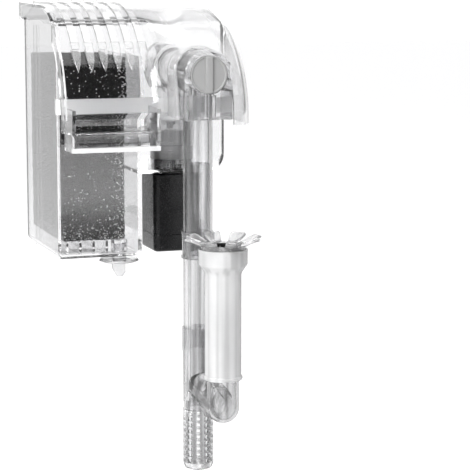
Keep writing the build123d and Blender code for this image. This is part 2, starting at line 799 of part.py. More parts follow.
# ---- write one file for each piece ---------------------------------------------------------
makers = [
    filter_case, foam_block, lid, intake_knuckle, barrel_seal, valve_core, valve_seal, flow_knob,
    upper_tube, tube_collar, lower_tube, strainer, skimmer_branch, skimmer_sleeve, skimmer_crown,
    crown_float, pump_head, motor_housing, motor_base, stator_core, stator_coil, motor_collar,
    motor_gasket, cable_gland, rotor_magnet, impeller_wheel, impeller_shaft, shaft_bushes, level_foot,
]

os.makedirs("parts", exist_ok=True)
for maker in makers:
    made = maker()
    if isinstance(made, list):
        made = Compound(children=made)
    export_step(made, f"parts/{maker.__name__}.step")
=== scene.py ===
"""Clear hang-on-back aquarium filter, dressed for a studio picture and run as a script."""

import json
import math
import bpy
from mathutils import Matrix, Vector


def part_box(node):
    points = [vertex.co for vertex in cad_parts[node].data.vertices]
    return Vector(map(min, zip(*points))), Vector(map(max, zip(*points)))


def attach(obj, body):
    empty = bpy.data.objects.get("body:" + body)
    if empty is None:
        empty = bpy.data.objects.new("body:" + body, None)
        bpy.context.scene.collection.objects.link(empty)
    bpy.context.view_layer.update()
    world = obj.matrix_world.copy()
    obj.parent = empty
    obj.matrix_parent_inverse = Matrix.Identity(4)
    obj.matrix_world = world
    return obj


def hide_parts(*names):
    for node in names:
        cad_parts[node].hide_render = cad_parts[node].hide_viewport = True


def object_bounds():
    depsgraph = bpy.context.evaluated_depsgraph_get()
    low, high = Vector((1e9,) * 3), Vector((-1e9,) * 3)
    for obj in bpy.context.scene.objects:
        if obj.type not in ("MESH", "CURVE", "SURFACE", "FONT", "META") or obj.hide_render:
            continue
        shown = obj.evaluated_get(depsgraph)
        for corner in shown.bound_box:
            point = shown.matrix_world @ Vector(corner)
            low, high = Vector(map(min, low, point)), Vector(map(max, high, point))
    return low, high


bl_info = {
    "name": "Hang-on-back Aquarium Filter",
    "version": (1, 0, 0),
    "blender": (4, 5, 0),
    "location": "3D View > Sidebar > Filter",
    "description": "Builds the visible pieces, finishes and studio of a clear aquarium power filter",
    "category": "Object",
}

import bmesh
import bpy
from mathutils import Matrix, Vector, noise

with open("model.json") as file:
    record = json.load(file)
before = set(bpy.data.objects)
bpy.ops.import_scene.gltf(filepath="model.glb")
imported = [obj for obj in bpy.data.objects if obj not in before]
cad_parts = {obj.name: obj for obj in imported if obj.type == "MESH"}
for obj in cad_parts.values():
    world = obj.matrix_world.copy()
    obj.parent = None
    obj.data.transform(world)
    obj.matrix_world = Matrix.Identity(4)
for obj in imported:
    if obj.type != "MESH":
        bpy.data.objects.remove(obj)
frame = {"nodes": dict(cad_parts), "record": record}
CAD_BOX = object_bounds()


# ---- places taken from the frame -----------------------------------------------------------
def low(node):
    return Vector(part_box(node)[0])


def high(node):
    return Vector(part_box(node)[1])


def span(node):
    """A CAD node's lowest and highest corners and its middle."""
    lowest, highest = low(node), high(node)
    return lowest, highest, (lowest + highest) / 2


# ---- shader maths --------------------------------------------------------------------------
class Socket:
    """One value in a material's tree, so that shader maths reads as ordinary expressions."""

    def __init__(self, tree, output):
        self.tree = tree
        self.output = output

    def _math(self, operation, first, second):
        return self.tree.node("ShaderNodeMath", {"operation": operation}, {0: first, 1: second})

    def __add__(self, other):
        return self._math("ADD", self, other)

    def __radd__(self, other):
        return self._math("ADD", other, self)

    def __sub__(self, other):
        return self._math("SUBTRACT", self, other)

    def __rsub__(self, other):
        return self._math("SUBTRACT", other, self)

    def __mul__(self, other):
        return self._math("MULTIPLY", self, other)

    def __rmul__(self, other):
        return self._math("MULTIPLY", other, self)

    def __pow__(self, other):
        return self._math("POWER", self, other)


finishes = {}


class Finish:
    """A material, kept in finishes under its name, and the one method that adds any node to it."""

    def __init__(self, name):
        self.material = bpy.data.materials.new(name)
        finishes[name] = self.material
        self.material.use_nodes = True
        self.tree = self.material.node_tree
        self.tree.nodes.clear()

    def node(self, kind, settings=None, inputs=None, output=0):
        """Adds a node; settings are its properties, inputs are values or sockets by name or index."""
        made = self.tree.nodes.new(kind)
        for key, value in (settings or {}).items():
            if key == "stops":
                for element, (position, colour) in zip(made.color_ramp.elements, value):
                    element.position = position
                    element.color = colour
            else:
                setattr(made, key, value)
        for key, value in (inputs or {}).items():
            if isinstance(value, Socket):
                self.tree.links.new(value.output, made.inputs[key])
            else:
                made.inputs[key].default_value = value
        return Socket(self, made.outputs[output]) if len(made.outputs) else None

    def place(self):
        return self.node("ShaderNodeTexCoord", output="Object")

    def noise(self, scale, detail=3.0, roughness=0.5):
        inputs = {"Vector": self.place(), "Scale": scale, "Detail": detail, "Roughness": roughness}
        return self.node("ShaderNodeTexNoise", inputs=inputs)

    def blend(self, factor, first, second):
        """Mixes two colours."""
        return self.node(
            "ShaderNodeMix", {"data_type": "RGBA"}, {0: factor, 6: first, 7: second}, output=2
        )

    def bump(self, height, strength, distance):
        return self.node(
            "ShaderNodeBump", inputs={"Height": height, "Strength": strength, "Distance": distance}
        )

    def fade(self, value, start, end):
        """0 at start, 1 at end, smooth between."""
        settings = {"interpolation_type": "SMOOTHSTEP"}
        return self.node("ShaderNodeMapRange", settings, {0: value, 1: start, 2: end, 3: 0.0, 4: 1.0})

    def surface(self, **sockets):
        inputs = {key.replace("_", " "): value for key, value in sockets.items()}
        return self.node("ShaderNodeBsdfPrincipled", inputs=inputs)

    def end(self, surface):
        self.node("ShaderNodeOutputMaterial", inputs={"Surface": surface})

    def finish(self, **sockets):
        """Ends the tree in one Principled surface."""
        self.end(self.surface(**sockets))
        return self.material


def grey(value, alpha=1.0):
    return (value, value, value * 1.005, alpha)


def clear_plastic(name, tint=0.94, roughness=0.015, milk_and_painted_haze=0.0, painted_haze_from=None, painted_haze_to=None,
                  flow_scale=38.0, rim=0.22, power=4.0, ribs=None, bands=(), streak=None):
    """Polished clear moulding: a real wall of glassy plastic, faintly uneven like a moulded skin.

    milk is how much of it is mixed with a white diffuse skin: real frosting on the sleeve, and on the lid a
    painted haze that stands for reflections of the white surroundings; painted_haze_from fades it in along
    X and painted_haze_to fades it out again.
    rim is the grey that the colour darkens to at grazing angles, power setting how fast: painted dark edges
    that stand for reflections of the dark surroundings.
    ribs is (y, z, radius, amount): left of painted_haze_from, and beyond that radius from that line along
    X, the skin is whitened too, a painted highlight on the raised ribs.
    bands are (low, high, front, back, amount): whitened stretches between two heights and two depths.
    streak is (scale, darkest): dark lines that run up and down a tube; on the sleeve they are painted
    reflections of dark strips.
    """
    mat = Finish(name)
    flow = mat.noise(flow_scale, 2.0)
    fine = mat.noise(900.0, 2.0)
    relief = mat.bump(flow * 0.7 + fine * 0.01, 0.12, 0.0005)
    facing = mat.node("ShaderNodeLayerWeight", inputs={"Blend": 0.5}, output="Facing")
    face_on = mat.blend(flow, grey(tint - 0.02), grey(min(1.0, tint + 0.02)))
    # Dark vertical lines; on the sleeve they are painted reflections of dark strips.
    if streak:
        lines = mat.node("ShaderNodeMapping", inputs={"Vector": mat.place(), "Scale": (1.0, 1.0, 0.02)})
        streak_lines = mat.node("ShaderNodeTexNoise", inputs={"Vector": lines, "Scale": streak[0], "Detail": 1.5})
        face_on = mat.blend(mat.fade(streak_lines, 0.46, 0.68), face_on, grey(streak[1]))
    clear = dict(
        # Darker towards grazing angles: painted dark edges that stand for reflections of the dark
        # surroundings.
        Base_Color=mat.blend(facing**power, face_on, grey(rim)),
        Roughness=roughness + fine * 0.03,
        Transmission_Weight=1.0,
        IOR=1.49,
        Normal=relief,
    )
    if not milk_and_painted_haze:
        return mat.finish(**clear)
    # Milk: real frosting on the sleeve; on the lid, a painted haze that stands for reflections of the white
    # surroundings.
    patchy_milk_and_haze = mat.noise(16.0, 3.0) * 0.6 + 0.7
    factor = patchy_milk_and_haze * milk_and_painted_haze
    if painted_haze_from:
        across = mat.node("ShaderNodeSeparateXYZ", inputs={0: mat.place()}, output="X")
        factor = factor * mat.fade(across, *painted_haze_from) * mat.fade(across, *painted_haze_to)
    # Ribs: a painted highlight that whitens the raised ribs beyond the arch.
    if ribs:
        y, z, radius, rib_highlight_strength = ribs
        offset = mat.node("ShaderNodeVectorMath", {"operation": "SUBTRACT"}, {0: mat.place(), 1: (0, y, z)})
        flat = mat.node("ShaderNodeVectorMath", {"operation": "MULTIPLY"}, {0: offset, 1: (0, 1, 1)})
        away = mat.node("ShaderNodeVectorMath", {"operation": "LENGTH"}, {0: flat}, output="Value")
        left = mat.node("ShaderNodeSeparateXYZ", inputs={0: mat.place()}, output="X")
        outside = mat.fade(away, radius, radius + 0.0002)
        on_rib = outside * mat.fade(left, painted_haze_from[0], painted_haze_from[0] - 0.001)
        factor = factor + on_rib * rib_highlight_strength
    # Whitened bands; the lip's band is a painted highlight.
    for bottom, top, front, back, band_white in bands:
        rise = mat.node("ShaderNodeSeparateXYZ", inputs={0: mat.place()}, output="Z")
        along = mat.node("ShaderNodeSeparateXYZ", inputs={0: mat.place()}, output="Y")
        band = mat.fade(rise, bottom, bottom + 0.001) * mat.fade(rise, top + 0.0004, top - 0.0004)
        deep = mat.fade(along, front, front + 0.001) * mat.fade(along, back, back - 0.001)
        factor = factor + band * deep * band_white
    factor = factor * (1.0 - facing**5.0)
    white_skin = mat.blend(fine, grey(0.90), grey(0.96))
    # The streak also greys the white skin: on the sleeve, painted reflections of dark strips.
    if streak:
        white_skin = mat.blend(mat.fade(streak_lines, 0.46, 0.68) * 0.32, white_skin, grey(streak[1]))
    white = mat.surface(Base_Color=white_skin, Roughness=0.5 + fine * 0.1, Normal=relief)
    mat.end(mat.node("ShaderNodeMixShader", inputs={0: factor, 1: mat.surface(**clear), 2: white}))
    return mat.material


def solid_plastic(name, colour, roughness, grain=900.0, depth=0.15, level=0.5):
    """Opaque moulding with a fine spark-eroded grain and slightly uneven colour."""
    mat = Finish(name)
    fine = mat.noise(grain, 3.0)
    broad = mat.noise(26.0, 2.0)
    lighter = tuple(min(1.0, c * 1.5 + 0.004) for c in colour[:3]) + (1.0,)
    return mat.finish(
        Base_Color=mat.blend(broad * 0.6, tuple(colour[:3]) + (1.0,), lighter),
        Roughness=roughness + (fine - 0.5) * 0.18,
        Normal=mat.bump(fine, depth, 0.0002),
        Specular_IOR_Level=level,
    )


def foam_finish(name, edge=None, foot=None):
    """Black open-cell foam: round cells, thin struts and scattered white specks, painted glints that stand
    for light caught on strut tips.

    The painted glints crowd towards X = edge and towards Z = foot, where those are given.
    """
    mat = Finish(name)
    warp = mat.node("ShaderNodeTexNoise", inputs={"Vector": mat.place(), "Scale": 420.0}, output="Color")
    shifted = mat.node(
        "ShaderNodeVectorMath", {"operation": "MULTIPLY_ADD"},
        {0: warp, 1: (0.002, 0.002, 0.002), 2: mat.place()},
    )
    cells = mat.node("ShaderNodeTexVoronoi", inputs={"Vector": shifted, "Scale": 620.0})
    strut = cells**2.0
    painted_glint_cells = mat.node("ShaderNodeTexVoronoi", inputs={"Vector": mat.place(), "Scale": 1150.0})
    lot = mat.node("ShaderNodeTexVoronoi", inputs={"Vector": mat.place(), "Scale": 1150.0}, output="Color")
    draw = mat.node("ShaderNodeSeparateColor", inputs={0: lot}, output="Red")
    apart = mat.node("ShaderNodeSeparateXYZ", inputs={0: mat.place()}, output="X")
    rise = mat.node("ShaderNodeSeparateXYZ", inputs={0: mat.place()}, output="Z")
    crowd = mat.noise(70.0, 3.0) * 0.05
    if edge is not None:
        crowd = crowd + mat.fade(apart, edge - 0.012, edge - 0.001) ** 2.0 * 0.5
    if foot is not None:
        crowd = crowd + mat.fade(rise, foot + 0.022, foot + 0.001) ** 2.0 * 0.35
    # Painted glints: chosen specks get a near-white colour that stands for light caught on strut tips.
    chosen = mat.fade(draw + crowd, 0.955, 0.985)
    bright = chosen * mat.fade(painted_glint_cells, 0.5, 0.3)
    tone = mat.blend(strut, grey(0.001), grey(0.022))
    return mat.finish(
        Base_Color=mat.blend(bright, tone, grey(0.9)),
        Roughness=0.9 - bright * 0.6,
        Normal=mat.bump(strut, 0.9, 0.0012),
        IOR=1.3,
    )


def metal(name, colour, roughness, scale):
    """Bare metal with fine lines across it."""
    mat = Finish(name)
    stretched = mat.node("ShaderNodeMapping", inputs={"Vector": mat.place(), "Scale": (1.0, 1.0, scale)})
    lines = mat.node("ShaderNodeTexNoise", inputs={"Vector": stretched, "Scale": 60.0, "Detail": 2.0})
    darker = tuple(c * 0.5 for c in colour[:3]) + (1.0,)
    return mat.finish(
        Base_Color=mat.blend(lines, tuple(colour[:3]) + (1.0,), darker),
        Metallic=1.0,
        Roughness=roughness + lines * 0.15,
        Normal=mat.bump(lines, 0.2, 0.0003),
    )


# Whitened stretches: lowest, highest, front, back, and how milky. The lip's stretch is a painted highlight
# along its edge.
WEIR_WALL = (0.0115, 0.0225, 0.003, 0.0102, 0.70)
# Painted highlight: a white band along the spout lip's lower edge.
LIP_PAINTED_HIGHLIGHT = (-0.0118, -0.0078, -0.0275, -0.0225, 0.6)
LID_REAR_RIM = (0.0705, 0.0755, 0.096, 0.106, 0.7)
PUMP_FOOT = (-0.0140, 0.0085, 0.0, 0.06, 0.12)


def make_finishes(ribs):
    foam_low, foam_high = low("foam_block"), high("foam_block")
    middle_x = (CAD_BOX[0].x + CAD_BOX[1].x) / 2
    # The ribs' whitening is a painted highlight.
    painted_rib_highlight = (ribs.arch_y, ribs.arch_z, ribs.arch_radius + 0.00055, 0.20)
    # rim in these calls sets the painted dark edges of each clear moulding.
    clear_plastic("clear_case", milk_and_painted_haze=0.008, bands=[WEIR_WALL, LIP_PAINTED_HIGHLIGHT])
    # The lid's milk is a painted haze of reflections over its right part, and its ribs carry a painted
    # highlight.
    clear_plastic(
        "clear_lid", 0.98, milk_and_painted_haze=0.30, painted_haze_from=(middle_x - 0.002, middle_x + 0.02),
        painted_haze_to=(0.056, 0.040), rim=0.12, power=3.5, ribs=painted_rib_highlight, bands=[LID_REAR_RIM],
    )
    clear_plastic("clear_tube", 0.90, milk_and_painted_haze=0.02, rim=0.04, power=1.5, streak=(170.0, 0.30))
    # The rib tips' milk is a painted highlight.
    clear_plastic("rib_tips", 0.96, milk_and_painted_haze=0.17, rim=0.15, power=3.0)
    clear_plastic("upper_clear", 0.94, milk_and_painted_haze=0.03, rim=0.03, power=1.8, streak=(170.0, 0.62))
    clear_plastic("knuckle", 0.97, milk_and_painted_haze=0.05, rim=0.2, power=3.0)
    clear_plastic("clear_pump", 0.97, milk_and_painted_haze=0.10, rim=0.2, bands=[PUMP_FOOT])
    clear_plastic("clear_crown", 0.95, milk_and_painted_haze=0.20, rim=0.02, power=1.4)
    clear_plastic("clear_foot", 0.80, milk_and_painted_haze=0.06, rim=0.02, power=1.4)
    # The sleeve's frosting is real; its streak paints reflections of dark strips as grey vertical bands.
    clear_plastic(
        "frosted_sleeve", 0.99, 0.20, milk_and_painted_haze=0.52, flow_scale=60.0, rim=0.02, power=3.0,
        streak=(190.0, 0.30),
    )
    foam_finish("black_foam", foam_high.x, foam_low.z)
    foam_finish("black_float")
    solid_plastic("black_motor", (0.006, 0.006, 0.0065), 0.26, level=0.35)
    solid_plastic("grey_collar", (0.35, 0.35, 0.35), 0.35)
    solid_plastic("knob_grey", (0.26, 0.26, 0.26), 0.35)
    solid_plastic("valve_black", (0.02, 0.02, 0.02), 0.4)
    solid_plastic("black_rubber", (0.02, 0.02, 0.02), 0.6)
    metal("core_steel", (0.45, 0.45, 0.46), 0.35, 40.0)
    metal("coil_copper", (0.72, 0.38, 0.2), 0.3, 60.0)
    solid_plastic("shaft_ceramic", (0.9, 0.89, 0.87), 0.15)
    solid_plastic("magnet_black", (0.04, 0.04, 0.045), 0.5)
    solid_plastic("impeller_white", (0.85, 0.85, 0.85), 0.35)


# ---- mesh helpers --------------------------------------------------------------------------
SMOOTH_BELOW = math.radians(32)


def close_and_shade(bm):
    """Joins loose corners, points faces outwards and keeps only real edges sharp."""
    bmesh.ops.remove_doubles(bm, verts=bm.verts, dist=1e-6)
    bmesh.ops.recalc_face_normals(bm, faces=bm.faces)
    for face in bm.faces:
        face.smooth = True
    for edge in bm.edges:
        edge.smooth = edge.calc_face_angle(0.0) < SMOOTH_BELOW


def soften(bm, offset, segments=2):
    """Rounds every sharp edge by offset metres."""
    sharp = [e for e in bm.edges if len(e.link_faces) == 2 and e.calc_face_angle(0.0) > SMOOTH_BELOW]
    bmesh.ops.bevel(
        bm, geom=sharp, offset=offset, affect="EDGES", segments=segments, profile=0.5, material=-1,
        clamp_overlap=True,
    )


def finish_piece(name, bm, slot, body, nodes=(), finish=None):
    """Turns a bmesh into a piece that rides on a body and stands for CAD nodes."""
    mesh = bpy.data.meshes.new(name)
    bm.to_mesh(mesh)
    bm.free()
    piece = bpy.data.objects.new(name, mesh)
    bpy.context.scene.collection.objects.link(piece)
    mesh.materials.append(finishes[finish or slot])
    if nodes:
        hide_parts(*nodes)
    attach(piece, body)
    return piece


def merged_copy(node):
    """The CAD node's shape as one connected skin."""
    source = frame["nodes"][node]
    bm = bmesh.new()
    bm.from_mesh(source.data)
    bmesh.ops.remove_doubles(bm, verts=bm.verts, dist=1e-6)
    return bm


def body_of_node(node):
    for body, nodes in frame["record"]["behaviour"]["bodies"].items():
        if node in nodes:
            return body
    raise RuntimeError(f"{node} is in no body")


def slot_of_node(node):
    for entry in frame["record"]["subparts"]:
        if entry["node"] == node:
            return entry["material_slot"]
    raise RuntimeError(f"{node} has no slot")


def refine(node, radius, finish=None):
    """A smooth, edge-rounded piece in the place of a CAD node."""
    bm = merged_copy(node)
    if radius:
        bmesh.ops.dissolve_limit(
            bm, angle_limit=math.radians(0.5), verts=bm.verts, edges=bm.edges, delimit={"NORMAL"}
        )
        soften(bm, radius)
    close_and_shade(bm)
    piece = finish_piece(node + "_skin", bm, slot_of_node(node), body_of_node(node), (node,), finish)
    if radius:
        even = piece.modifiers.new("even_faces", "WEIGHTED_NORMAL")
        even.keep_sharp = True
        even.weight = 100
    return piece


# ---- stage ---------------------------------------------------------------------------------
def area_light(name, place, target, size, power):
    lamp = bpy.data.lights.new(name, "AREA")
    lamp.shape = "RECTANGLE"
    lamp.size, lamp.size_y = size
    lamp.energy = power
    holder = bpy.data.objects.new(name, lamp)
    holder.location = place
    holder.rotation_mode = "QUATERNION"
    holder.rotation_quaternion = (Vector(target) - Vector(place)).to_track_quat("-Z", "Y")
    bpy.context.scene.collection.objects.link(holder)
    return holder


def flat_sheet(name, low_corner, high_corner, z, material):
    """A level sheet of the studio between two corners."""
    bm = bmesh.new()
    bmesh.ops.create_grid(bm, x_segments=2, y_segments=2, size=0.5)
    size = [h - l for l, h in zip(low_corner, high_corner)]
    centre = [(h + l) / 2 for l, h in zip(low_corner, high_corner)]
    bmesh.ops.scale(bm, verts=bm.verts, vec=(*size, 1))
    bmesh.ops.translate(bm, verts=bm.verts, vec=(*centre, z))
    mesh = bpy.data.meshes.new(name)
    bm.to_mesh(mesh)
    bm.free()
    sheet = bpy.data.objects.new(name, mesh)
    bpy.context.scene.collection.objects.link(sheet)
    mesh.materials.append(material)
    return sheet


def glowing(name, shade, strength, along, start, end):
    """A pale surface whose glow comes in between start and end along one axis."""
    mat = Finish(name)
    grain = mat.noise(40.0, 3.0)
    place = mat.node("ShaderNodeSeparateXYZ", inputs={0: mat.place()}, output=along)
    glow = mat.fade(place, start, end)
    return mat.finish(
        Base_Color=mat.blend(grain, grey(shade - 0.02), grey(shade + 0.02)),
        Roughness=0.6 + grain * 0.1,
        Emission_Color=mat.blend(glow, grey(0.0), grey(1.0)),
        Emission_Strength=strength,
    )


def make_floor(drop):
    """A pale table top below the tube at full reach, and a low light card far in front."""
    level = CAD_BOX[0].z - drop
    flat_sheet("table_top", (-6, -3.5), (6, 7), level, glowing("table_top", 0.32, 0.82, "Y", -0.7, -0.1))
    card = glowing("front_card", 0.5, 2.6, "Y", -1.25, -1.75)
    flat_sheet("front_card", (-0.1, -3.2), (1.6, -1.2), level + 0.003, card).visible_camera = False


def make_world(bright, dark):
    """A white room with darker sides and front, so that clear walls show their edges."""
    world = bpy.data.worlds.new("studio")
    world.use_nodes = True
    tree = world.node_tree
    tree.nodes.clear()
    place = tree.nodes.new("ShaderNodeTexCoord")
    apart = tree.nodes.new("ShaderNodeSeparateXYZ")
    tree.links.new(place.outputs["Generated"], apart.inputs[0])
    ramp = tree.nodes.new("ShaderNodeValToRGB")
    ramp.color_ramp.interpolation = "EASE"
    ramp.color_ramp.elements[0].position = 0.3
    ramp.color_ramp.elements[0].color = (dark, dark, dark, 1)
    ramp.color_ramp.elements[1].position = 0.8
    ramp.color_ramp.elements[1].color = (bright, bright, bright, 1)
    tree.links.new(apart.outputs["Y"], ramp.inputs["Fac"])
    back = tree.nodes.new("ShaderNodeBackground")
    tree.links.new(ramp.outputs["Color"], back.inputs["Color"])
    back.inputs["Strength"].default_value = 1.0
    out = tree.nodes.new("ShaderNodeOutputWorld")
    tree.links.new(back.outputs[0], out.inputs["Surface"])
    bpy.context.scene.world = world


def make_camera(settings):
    """A long lens to the filter's left and a little above it."""
    azimuth, elevation = settings.azimuth, settings.elevation
    back = Vector((
        math.sin(azimuth) * math.cos(elevation),
        -math.cos(azimuth) * math.cos(elevation),
        math.sin(elevation),
    ))
    right = Vector((math.cos(azimuth), math.sin(azimuth), 0))
    aim = Vector(settings.aim)
    pan = Matrix.Rotation(-settings.pan, 3, back.cross(right))
    forward, side = pan @ -back, pan @ right
    lift = side.cross(forward)
    turn = Matrix.Rotation(settings.roll, 3, forward)
    side, lift = turn @ side, turn @ lift
    camera = bpy.data.objects.new("camera", bpy.data.cameras.new("camera"))
    camera.data.sensor_width = 36.0
    camera.data.lens = settings.lens
    camera.data.clip_start, camera.data.clip_end = 0.05, 30.0
    camera.location = aim + back * settings.distance
    camera.rotation_mode = "QUATERNION"
    camera.rotation_quaternion = Matrix((side, lift, -forward)).transposed().to_quaternion()
    bpy.context.scene.collection.objects.link(camera)
    bpy.context.scene.camera = camera


# Lamps: name, place, size and watts.
LAMPS = (
    ("sky_panel", (0.1, -0.2, 1.5), (1.6, 1.6), 14.0),
    ("left_panel", (-1.4, -0.5, 0.5), (0.5, 1.2), 5.0),
    ("key_panel", (-0.9, -1.3, 0.85), (1.1, 1.1), 42.0),
    ("back_panel", (0.4, 1.6, 0.6), (1.6, 1.2), 4.0),
)


class StudioSettings(bpy.types.PropertyGroup):
    azimuth: bpy.props.FloatProperty(
        name="Azimuth", description="How far round the filter the camera stands",
        default=math.radians(-16.0), subtype="ANGLE",
    )
    elevation: bpy.props.FloatProperty(
        name="Elevation", description="How far above the rim the camera stands",
        default=math.radians(8.7), subtype="ANGLE",
    )
    roll: bpy.props.FloatProperty(
        name="Roll", description="Lean of the camera", default=math.radians(0.4), subtype="ANGLE",
    )
    pan: bpy.props.FloatProperty(
        name="Pan", description="Turn of the camera to the right of its aim",
        default=math.radians(2.96), subtype="ANGLE",
    )
    lens: bpy.props.FloatProperty(
        name="Lens", description="Focal length in millimetres", default=137.9,
    )
    distance: bpy.props.FloatProperty(
        name="Distance", description="From the aim to the camera", default=1.242, unit="LENGTH",
    )
    table_drop: bpy.props.FloatProperty(
        name="Table drop", description="From the filter's lowest point to the table top", default=0.050,
        unit="LENGTH",
    )
    aim: bpy.props.FloatVectorProperty(
        name="Aim", description="The point that the camera is set up on",
        default=(-0.00025, 0.005, -0.0727), size=3, unit="LENGTH",
    )


class KnobSettings(bpy.types.PropertyGroup):
    rim_width: bpy.props.FloatProperty(
        name="Rim width", description="Raised ring round the knob's face", default=0.0011, unit="LENGTH",
    )
    bar_width: bpy.props.FloatProperty(
        name="Bar width", description="Width of the grip bar", default=0.0052, unit="LENGTH",
    )
    bar_height: bpy.props.FloatProperty(
        name="Bar height", description="How far the bar stands off the face", default=0.0018, unit="LENGTH",
    )
    bar_round: bpy.props.FloatProperty(
        name="Bar rounding", description="Rounding of the bar's edges", default=0.0009, unit="LENGTH",
    )


class CrownSettings(bpy.types.PropertyGroup):
    petals: bpy.props.IntProperty(name="Petals", description="Number of petals", default=8, min=3)
    hub_radius: bpy.props.FloatProperty(
        name="Hub radius", description="Outer radius of the ring in the cup", default=0.0147, unit="LENGTH",
    )
    thickness: bpy.props.FloatProperty(
        name="Petal thickness", description="Wall of one petal", default=0.0016, unit="LENGTH",
    )
    float_wall: bpy.props.FloatProperty(
        name="Float wall", description="Radial width of the foam ring", default=0.00495, unit="LENGTH",
    )


class RibSettings(bpy.types.PropertyGroup):
    count: bpy.props.IntProperty(name="Ribs", description="Number of raised ribs", default=6, min=1)
    first: bpy.props.FloatProperty(
        name="First rib", description="Middle of the leftmost rib", default=-0.0507, unit="LENGTH",
    )
    pitch: bpy.props.FloatProperty(
        name="Pitch", description="From rib to rib", default=0.0092, unit="LENGTH",
    )
    width: bpy.props.FloatProperty(
        name="Width", description="Width of a rib's end", default=0.0062, unit="LENGTH",
    )
    height: bpy.props.FloatProperty(
        name="Height", description="How far a rib stands off the lid", default=0.0012, unit="LENGTH",
    )
    arch_radius: bpy.props.FloatProperty(
        name="Arch radius", description="Outer radius of the lid's arch", default=0.07405, unit="LENGTH",
    )
    arch_y: bpy.props.FloatProperty(
        name="Arch depth", description="Where the arch's centre line lies", default=0.044, unit="LENGTH",
    )
    arch_z: bpy.props.FloatProperty(
        name="Arch height", description="Height of the arch's centre line", default=0.011, unit="LENGTH",
    )
    start: bpy.props.FloatProperty(
        name="Start", description="Arch angle where a tip is full width", default=math.radians(42.0),
        subtype="ANGLE",
    )
    end: bpy.props.FloatProperty(
        name="End", description="Arch angle of a tip's point", default=math.radians(25.0), subtype="ANGLE",
    )


class FoamSettings(bpy.types.PropertyGroup):
    cell: bpy.props.FloatProperty(
        name="Cell", description="Spacing of the foam's surface points", default=0.0016, unit="LENGTH",
    )
    pit: bpy.props.FloatProperty(
        name="Pit", description="Depth of the deepest pits", default=0.0009, unit="LENGTH",
    )
    pit_scale: bpy.props.FloatProperty(
        name="Pit scale", description="How closely the pits are set, in pits for each metre", default=420.0,
    )
    rounding: bpy.props.FloatProperty(
        name="Rounding", description="How far in from an edge its rounding starts", default=0.0016,
        unit="LENGTH",
    )


class SleeveSettings(bpy.types.PropertyGroup):
    bore: bpy.props.FloatProperty(
        name="Bore", description="Inner radius of the sleeve", default=0.0112, unit="LENGTH",
    )
    wall: bpy.props.FloatProperty(
        name="Wall", description="Wall of the sleeve below its cup", default=0.0010, unit="LENGTH",
    )
    lip: bpy.props.FloatProperty(
        name="Lip", description="How far the cup's lip stands above the CAD cup", default=0.0020,
        unit="LENGTH",
    )


class FILTER_OT_studio(bpy.types.Operator):
    """Camera, lamps, table top and surroundings"""

    bl_idname = "filter.studio"
    bl_label = "Studio"

    def execute(self, context):
        scene = context.scene
        scene.view_settings.view_transform = "Standard"
        scene.cycles.transparent_max_bounces = 24
        scene.cycles.max_bounces = 40
        scene.cycles.transmission_bounces = 40
        scene.cycles.glossy_bounces = 8
        scene.cycles.diffuse_bounces = 3
        make_camera(scene.filter_studio)
        make_world(1.02, 0.10)
        make_floor(scene.filter_studio.table_drop)
        centre = (CAD_BOX[0] + CAD_BOX[1]) / 2
        for name, place, size, power in LAMPS:
            area_light(name, place, centre, size, power)
        return {"FINISHED"}


class FILTER_OT_finishes(bpy.types.Operator):
    """Every material, and the CAD pieces that keep their own shape"""

    bl_idname = "filter.finishes"
    bl_label = "Finishes"

    def execute(self, context):
        make_finishes(context.scene.filter_ribs)
        for node, piece in frame["nodes"].items():
            piece.data.materials.clear()
            piece.data.materials.append(finishes[slot_of_node(node)])
        return {"FINISHED"}


def lathe(bm, centre, outline, steps=96):
    """Turns an outline of (radius, height) points about the vertical line through centre."""
    ring = [bm.verts.new((centre[0] + radius, centre[1], height)) for radius, height in outline]
    edges = [bm.edges.new(pair) for pair in zip(ring, ring[1:] + ring[:1])]
    bmesh.ops.spin(
        bm, geom=ring + edges, cent=(centre[0], centre[1], 0), axis=(0, 0, 1), dvec=(0, 0, 0),
        angle=math.tau, steps=steps, use_merge=True, use_duplicate=False,
    )


class FILTER_OT_mouldings(bpy.types.Operator):
    """Clear and black mouldings that keep the CAD's shape, with smooth skins and softened edges"""

    bl_idname = "filter.mouldings"
    bl_label = "Mouldings"

    def execute(self, context):
        for node, radius in (("filter_case", 0.0003), ("motor_housing", 0.0006), ("motor_base", 0.0006),
                             ("level_foot", 0.0003)):
            refine(node, radius)
        refine("intake_knuckle", 0.0, "knuckle")
        refine("upper_tube", 0.0, "upper_clear")
        for node in ("tube_collar", "lower_tube", "strainer", "skimmer_branch",
                     "pump_head", "motor_collar", "lid"):
            refine(node, 0.0)
        return {"FINISHED"}


class FILTER_OT_rib_tips(bpy.types.Operator):
    """Tapered ends that run out from the lid's raised ribs down its arch"""

    bl_idname = "filter.rib_tips"
    bl_label = "Rib tips"

    def execute(self, context):
        settings = context.scene.filter_ribs
        radius = settings.arch_radius
        top, bottom = settings.start, settings.end
        bm = bmesh.new()
        for i in range(settings.count):
            rib_x = settings.first + settings.pitch * i
            made = bmesh.ops.create_grid(bm, x_segments=6, y_segments=18, size=1.0)["verts"]
            for vert in made:
                across, down = vert.co.x, (1 - vert.co.y) / 2
                angle = top + (bottom - top) * down
                half = settings.width / 2 * (1 - down**2.6) + 0.0002
                crown = settings.height * (1 - 0.75 * down) * (1 - 0.35 * across**4)
                reach = radius + crown
                vert.co = (
                    rib_x + across * half,
                    settings.arch_y - reach * math.cos(angle),
                    settings.arch_z + reach * math.sin(angle),
                )
            faces = list({f for v in made for f in v.link_faces})
            bmesh.ops.recalc_face_normals(bm, faces=faces)
            outward = sum((f.normal.dot(Vector((0, -1, 1))) for f in faces), 0.0)
            if outward < 0:
                bmesh.ops.reverse_faces(bm, faces=faces)
            bmesh.ops.solidify(bm, geom=faces, thickness=settings.height * 0.9)
        close_and_shade(bm)
        finish_piece("rib_tips", bm, "clear_lid", "lid", (), "rib_tips")
        return {"FINISHED"}


